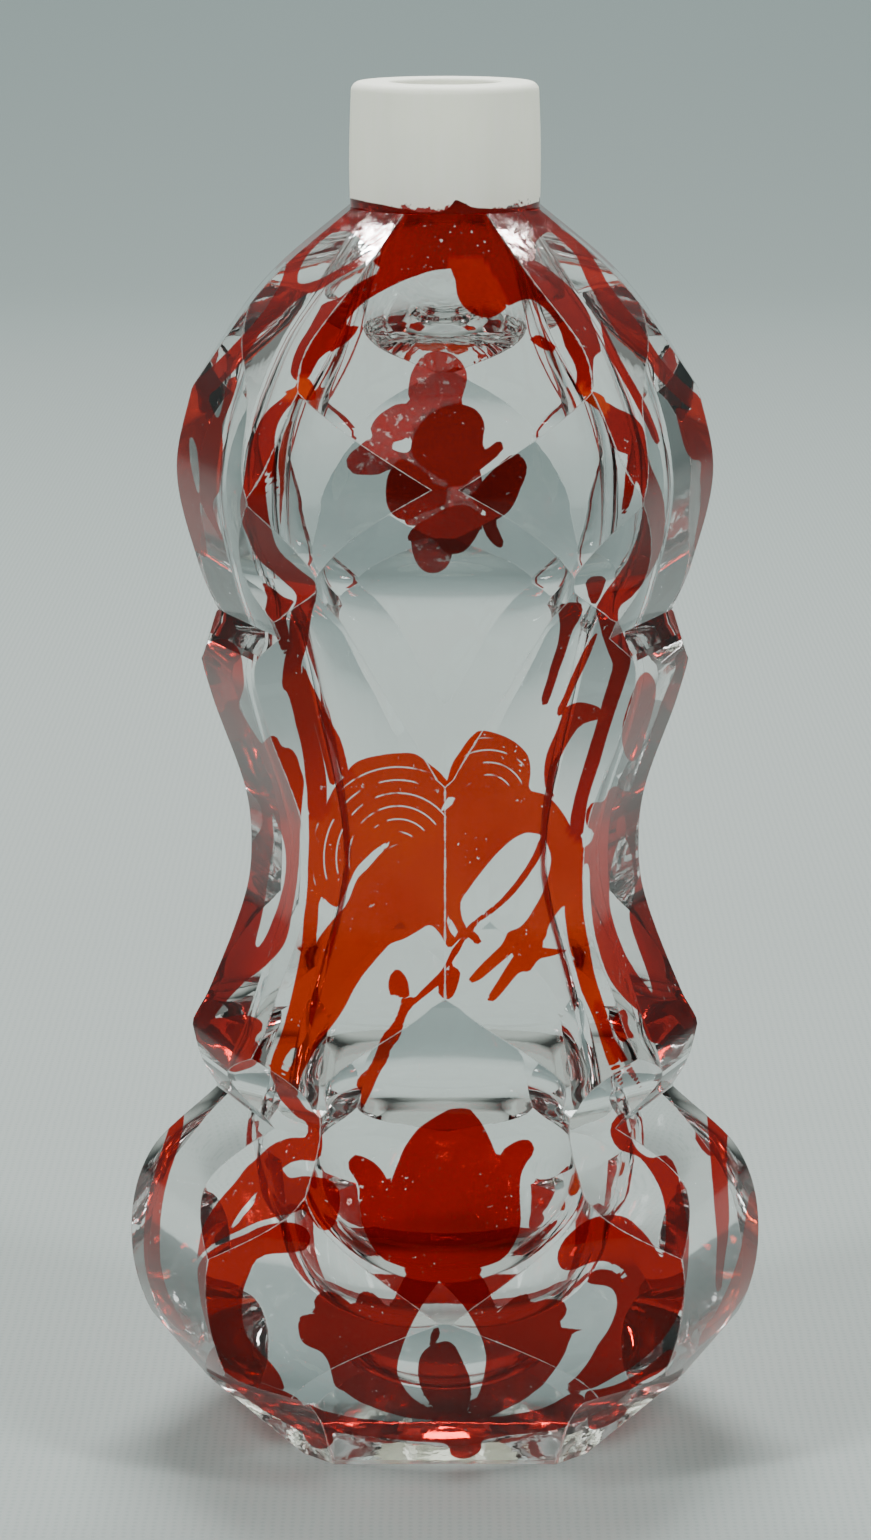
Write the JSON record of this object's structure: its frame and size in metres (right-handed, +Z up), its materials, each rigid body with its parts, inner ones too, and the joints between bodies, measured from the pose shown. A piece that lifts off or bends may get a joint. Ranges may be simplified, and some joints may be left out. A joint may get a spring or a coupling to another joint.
{
  "type": "cut glass perfume bottle",
  "caption": "Small gourd-shaped cut glass perfume bottle with staggered lozenge facets, ruby stained ornament and a ground neck, hollow and open, without its cap.",
  "frame": {"origin": "centre of the flat underside, where the bottle stands", "axes": "+Z up along the neck, the front with the tulip and the bird faces -Y, +X to the viewer's right"},
  "size_m": [0.0424, 0.04, 0.09],
  "materials": {
    "glass": "clear cut glass with engraved ruby stain on its surface and a frosted, ground neck"
  },
  "bodies": {
    "root": {"glass_bottle": "glass"}
  },
  "joints": []
}
